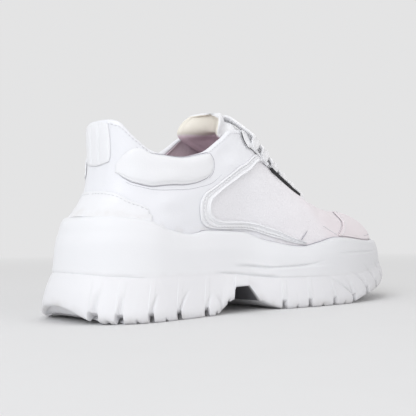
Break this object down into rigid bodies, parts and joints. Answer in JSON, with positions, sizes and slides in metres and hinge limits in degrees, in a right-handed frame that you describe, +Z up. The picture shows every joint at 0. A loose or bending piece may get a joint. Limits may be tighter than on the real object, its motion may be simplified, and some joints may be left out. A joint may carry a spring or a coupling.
{
  "type": "platform sneaker",
  "caption": "White low-cut platform sneaker for the right foot, with a hollow padded upper, tongue, flat laces and a thick lugged sole with an arch under the waist.",
  "frame": {"origin": "on the floor, under the middle of the shoe's length and width", "axes": "+X from heel to toe, +Y to the inner side of the foot, +Z up"},
  "size_m": [0.29, 0.1052, 0.1283],
  "materials": {
    "rubber": "matt moulded",
    "foam": "matt moulded foam",
    "lining": "woven lining",
    "leather": "smooth coated leather",
    "trim": "smooth coated leather overlay",
    "padding": "padded cloth",
    "lace": "flat woven lace",
    "dark_trim": "thin dark strip"
  },
  "bodies": {
    "root": {"outsole": "rubber", "midsole": "foam", "insole": "lining", "upper": "leather", "tongue": "padding", "heel_counter": "trim", "toe_cap": "trim", "eyestay": "trim", "side_strip": "dark_trim", "window_frame_outer": "trim", "window_frame_inner": "trim", "collar_pad_outer": "trim", "collar_pad_inner": "trim", "heel_tab": "trim", "lace_bar_1": "lace", "lace_bar_2": "lace", "lace_bar_3": "lace", "lace_bar_4": "lace", "lace_bar_5": "lace", "lace_bar_6": "lace"}
  },
  "joints": []
}
